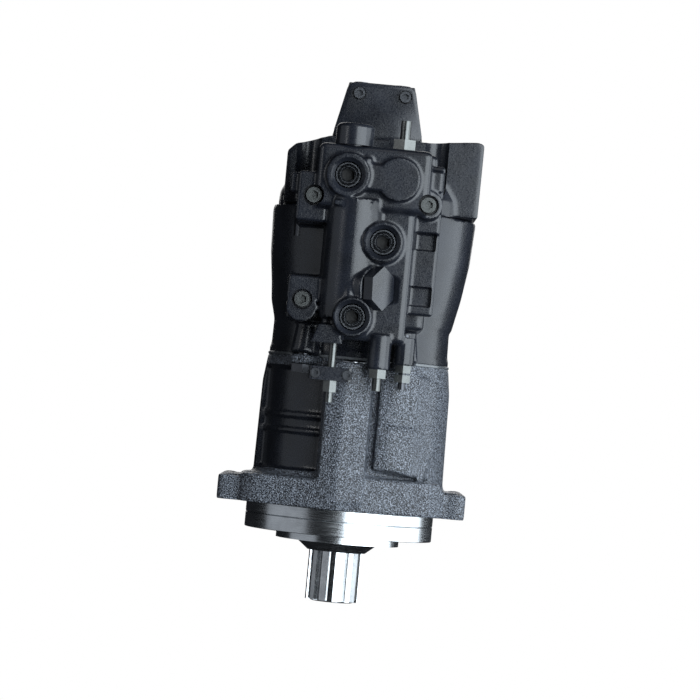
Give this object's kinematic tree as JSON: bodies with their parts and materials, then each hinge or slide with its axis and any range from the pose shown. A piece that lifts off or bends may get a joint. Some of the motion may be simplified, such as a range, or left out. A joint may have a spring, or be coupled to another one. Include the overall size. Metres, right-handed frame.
{
  "type": "axial piston pump",
  "caption": "Variable axial piston pump with splined shaft, piloted four-bolt flange, tilting swash plate, piston barrel, regulator block and pilot gear pump.",
  "frame": {"origin": "centre of the mounting face on the shaft axis", "axes": "+Z along the shaft axis towards the rear end, -Y towards the regulator, +X towards the discharge port"},
  "size_m": [0.198, 0.2138, 0.421],
  "materials": {
    "cast_paint": "satin",
    "machined_steel": "machined",
    "bearing_steel": "ground",
    "rubber": "matte",
    "internal_iron": "machined",
    "bronze": "machined",
    "hardened_steel": "ground",
    "dark_steel": "black oxide",
    "plated_steel": "zinc plated"
  },
  "bodies": {
    "housing": {"front_housing": "cast_paint", "front_cover": "machined_steel", "rear_housing": "cast_paint", "end_block": "cast_paint", "charge_pump_body": "cast_paint", "charge_cover_plate": "cast_paint", "regulator_body": "cast_paint", "shaft_seal": "rubber", "seal_snap_ring": "bearing_steel", "bearing_outer_rings": "bearing_steel", "swash_support": "internal_iron", "cradle_liners": "bronze", "valve_plate": "bronze", "port_plugs": "dark_steel", "hex_plug": "dark_steel", "spool_spring": "hardened_steel", "spool_cap": "cast_paint", "lock_nuts": "plated_steel", "adjuster_bracket": "cast_paint", "small_screws": "dark_steel", "housing_bolts": "dark_steel", "rear_end_screws": "dark_steel", "regulator_screws": "dark_steel", "o_rings": "rubber", "dowels": "hardened_steel"},
    "rotor": {"drive_shaft": "bearing_steel", "bearing_inner_rings": "bearing_steel", "spherical_guide": "internal_iron", "centre_spring": "hardened_steel", "cylinder_barrel": "internal_iron", "charge_drive_gear": "hardened_steel"},
    "front_cage": {"front_bearing_rollers": "bearing_steel"},
    "rear_cage": {"rear_bearing_rollers": "bearing_steel"},
    "swash": {"swash_plate": "internal_iron"},
    "shoe_ring": {"retainer_plate": "internal_iron"},
    "servo": {"servo_piston": "hardened_steel"},
    "driven_gear": {"charge_driven_gear": "hardened_steel"},
    "spool": {"regulator_spool": "hardened_steel"},
    "flow_adjuster": {"flow_screw": "plated_steel"},
    "power_adjuster": {"power_screw": "plated_steel"},
    "minimum_adjuster": {"minimum_screw": "dark_steel"},
    "top_adjuster": {"top_screw": "plated_steel"},
    "shoe_1": {"shoe_1": "bronze"},
    "piston_1": {"piston_1": "hardened_steel"},
    "shoe_2": {"shoe_2": "bronze"},
    "piston_2": {"piston_2": "hardened_steel"},
    "shoe_3": {"shoe_3": "bronze"},
    "piston_3": {"piston_3": "hardened_steel"},
    "shoe_4": {"shoe_4": "bronze"},
    "piston_4": {"piston_4": "hardened_steel"},
    "shoe_5": {"shoe_5": "bronze"},
    "piston_5": {"piston_5": "hardened_steel"},
    "shoe_6": {"shoe_6": "bronze"},
    "piston_6": {"piston_6": "hardened_steel"},
    "shoe_7": {"shoe_7": "bronze"},
    "piston_7": {"piston_7": "hardened_steel"},
    "shoe_8": {"shoe_8": "bronze"},
    "piston_8": {"piston_8": "hardened_steel"},
    "shoe_9": {"shoe_9": "bronze"},
    "piston_9": {"piston_9": "hardened_steel"}
  },
  "joints": [
    {"name": "shaft_spin", "type": "hinge", "parent": "housing", "child": "rotor", "pos_m": [0, 0, 0], "axis": [0, 0, 1], "continuous": true},
    {"name": "front_cage_roll", "type": "hinge", "parent": "housing", "child": "front_cage", "pos_m": [0, 0, 0.004], "axis": [0, 0, 1], "continuous": true},
    {"name": "rear_cage_roll", "type": "hinge", "parent": "housing", "child": "rear_cage", "pos_m": [0, 0, 0.24], "axis": [0, 0, 1], "continuous": true},
    {"name": "swash_tilt", "type": "hinge", "parent": "housing", "child": "swash", "pos_m": [0, 0, 0.084], "axis": [1, 0, 0], "range_deg": [0, 15]},
    {"name": "servo_slide", "type": "slide", "parent": "housing", "child": "servo", "axis": [0, 0, 1], "range_m": [-0.0201, 0.0002]},
    {"name": "shoe_ring_spin", "type": "hinge", "parent": "swash", "child": "shoe_ring", "pos_m": [0, 0, 0.084], "axis": [0, 0, 1], "continuous": true},
    {"name": "shoe_1_spin", "type": "hinge", "parent": "shoe_ring", "child": "shoe_1", "pos_m": [0.041, 0, 0.084], "axis": [0, 0, 1], "continuous": true},
    {"name": "piston_1_ball", "type": "hinge", "parent": "shoe_1", "child": "piston_1", "pos_m": [0.041, 0, 0.084], "axis": [1, 0, 0], "range_deg": [-15.01, 0.01]},
    {"name": "shoe_2_spin", "type": "hinge", "parent": "shoe_ring", "child": "shoe_2", "pos_m": [0.03141, 0.02635, 0.084], "axis": [0, 0, 1], "continuous": true},
    {"name": "piston_2_ball", "type": "hinge", "parent": "shoe_2", "child": "piston_2", "pos_m": [0.03141, 0.02635, 0.084], "axis": [1, 0, 0], "range_deg": [-15.01, 0.01]},
    {"name": "shoe_3_spin", "type": "hinge", "parent": "shoe_ring", "child": "shoe_3", "pos_m": [0.00712, 0.04038, 0.084], "axis": [0, 0, 1], "continuous": true},
    {"name": "piston_3_ball", "type": "hinge", "parent": "shoe_3", "child": "piston_3", "pos_m": [0.00712, 0.04038, 0.084], "axis": [1, 0, 0], "range_deg": [-15.01, 0.01]},
    {"name": "shoe_4_spin", "type": "hinge", "parent": "shoe_ring", "child": "shoe_4", "pos_m": [-0.0205, 0.03551, 0.084], "axis": [0, 0, 1], "continuous": true},
    {"name": "piston_4_ball", "type": "hinge", "parent": "shoe_4", "child": "piston_4", "pos_m": [-0.0205, 0.03551, 0.084], "axis": [1, 0, 0], "range_deg": [-15.01, 0.01]},
    {"name": "shoe_5_spin", "type": "hinge", "parent": "shoe_ring", "child": "shoe_5", "pos_m": [-0.03853, 0.01402, 0.084], "axis": [0, 0, 1], "continuous": true},
    {"name": "piston_5_ball", "type": "hinge", "parent": "shoe_5", "child": "piston_5", "pos_m": [-0.03853, 0.01402, 0.084], "axis": [1, 0, 0], "range_deg": [-15.01, 0.01]},
    {"name": "shoe_6_spin", "type": "hinge", "parent": "shoe_ring", "child": "shoe_6", "pos_m": [-0.03853, -0.01402, 0.084], "axis": [0, 0, 1], "continuous": true},
    {"name": "piston_6_ball", "type": "hinge", "parent": "shoe_6", "child": "piston_6", "pos_m": [-0.03853, -0.01402, 0.084], "axis": [1, 0, 0], "range_deg": [-15.01, 0.01]},
    {"name": "shoe_7_spin", "type": "hinge", "parent": "shoe_ring", "child": "shoe_7", "pos_m": [-0.0205, -0.03551, 0.084], "axis": [0, 0, 1], "continuous": true},
    {"name": "piston_7_ball", "type": "hinge", "parent": "shoe_7", "child": "piston_7", "pos_m": [-0.0205, -0.03551, 0.084], "axis": [1, 0, 0], "range_deg": [-15.01, 0.01]},
    {"name": "shoe_8_spin", "type": "hinge", "parent": "shoe_ring", "child": "shoe_8", "pos_m": [0.00712, -0.04038, 0.084], "axis": [0, 0, 1], "continuous": true},
    {"name": "piston_8_ball", "type": "hinge", "parent": "shoe_8", "child": "piston_8", "pos_m": [0.00712, -0.04038, 0.084], "axis": [1, 0, 0], "range_deg": [-15.01, 0.01]},
    {"name": "shoe_9_spin", "type": "hinge", "parent": "shoe_ring", "child": "shoe_9", "pos_m": [0.03141, -0.02635, 0.084], "axis": [0, 0, 1], "continuous": true},
    {"name": "piston_9_ball", "type": "hinge", "parent": "shoe_9", "child": "piston_9", "pos_m": [0.03141, -0.02635, 0.084], "axis": [1, 0, 0], "range_deg": [-15.01, 0.01]},
    {"name": "driven_gear_spin", "type": "hinge", "parent": "housing", "child": "driven_gear", "pos_m": [0, 0.03, 0.3], "axis": [0, 0, 1], "continuous": true},
    {"name": "spool_slide", "type": "slide", "parent": "housing", "child": "spool", "axis": [0, 0, 1], "range_m": [-0.003, 0.003]},
    {"name": "flow_adjust", "type": "slide", "parent": "housing", "child": "flow_adjuster", "axis": [0, 0, 1], "range_m": [-0.003, 0.003]},
    {"name": "power_adjust", "type": "slide", "parent": "housing", "child": "power_adjuster", "axis": [0, 0, 1], "range_m": [-0.003, 0.003]},
    {"name": "minimum_adjust", "type": "slide", "parent": "housing", "child": "minimum_adjuster", "axis": [0, 0, 1], "range_m": [-0.003, 0.003]},
    {"name": "top_adjust", "type": "slide", "parent": "housing", "child": "top_adjuster", "axis": [0, 0, 1], "range_m": [-0.003, 0.003]}
  ],
  "couplings": [
    {"joint": "front_cage_roll", "follows": "shaft_spin", "ratio": 0.45584},
    {"joint": "rear_cage_roll", "follows": "shaft_spin", "ratio": 0.44084},
    {"joint": "servo_slide", "follows": "swash_tilt", "m_per_rad": -0.0763},
    {"joint": "shoe_ring_spin", "follows": "shaft_spin", "ratio": 1},
    {"joint": "shoe_1_spin", "follows": "shaft_spin", "ratio": -1},
    {"joint": "piston_1_ball", "follows": "swash_tilt", "ratio": -1},
    {"joint": "shoe_2_spin", "follows": "shaft_spin", "ratio": -1},
    {"joint": "piston_2_ball", "follows": "swash_tilt", "ratio": -1},
    {"joint": "shoe_3_spin", "follows": "shaft_spin", "ratio": -1},
    {"joint": "piston_3_ball", "follows": "swash_tilt", "ratio": -1},
    {"joint": "shoe_4_spin", "follows": "shaft_spin", "ratio": -1},
    {"joint": "piston_4_ball", "follows": "swash_tilt", "ratio": -1},
    {"joint": "shoe_5_spin", "follows": "shaft_spin", "ratio": -1},
    {"joint": "piston_5_ball", "follows": "swash_tilt", "ratio": -1},
    {"joint": "shoe_6_spin", "follows": "shaft_spin", "ratio": -1},
    {"joint": "piston_6_ball", "follows": "swash_tilt", "ratio": -1},
    {"joint": "shoe_7_spin", "follows": "shaft_spin", "ratio": -1},
    {"joint": "piston_7_ball", "follows": "swash_tilt", "ratio": -1},
    {"joint": "shoe_8_spin", "follows": "shaft_spin", "ratio": -1},
    {"joint": "piston_8_ball", "follows": "swash_tilt", "ratio": -1},
    {"joint": "shoe_9_spin", "follows": "shaft_spin", "ratio": -1},
    {"joint": "piston_9_ball", "follows": "swash_tilt", "ratio": -1},
    {"joint": "driven_gear_spin", "follows": "shaft_spin", "ratio": -1}
  ]
}
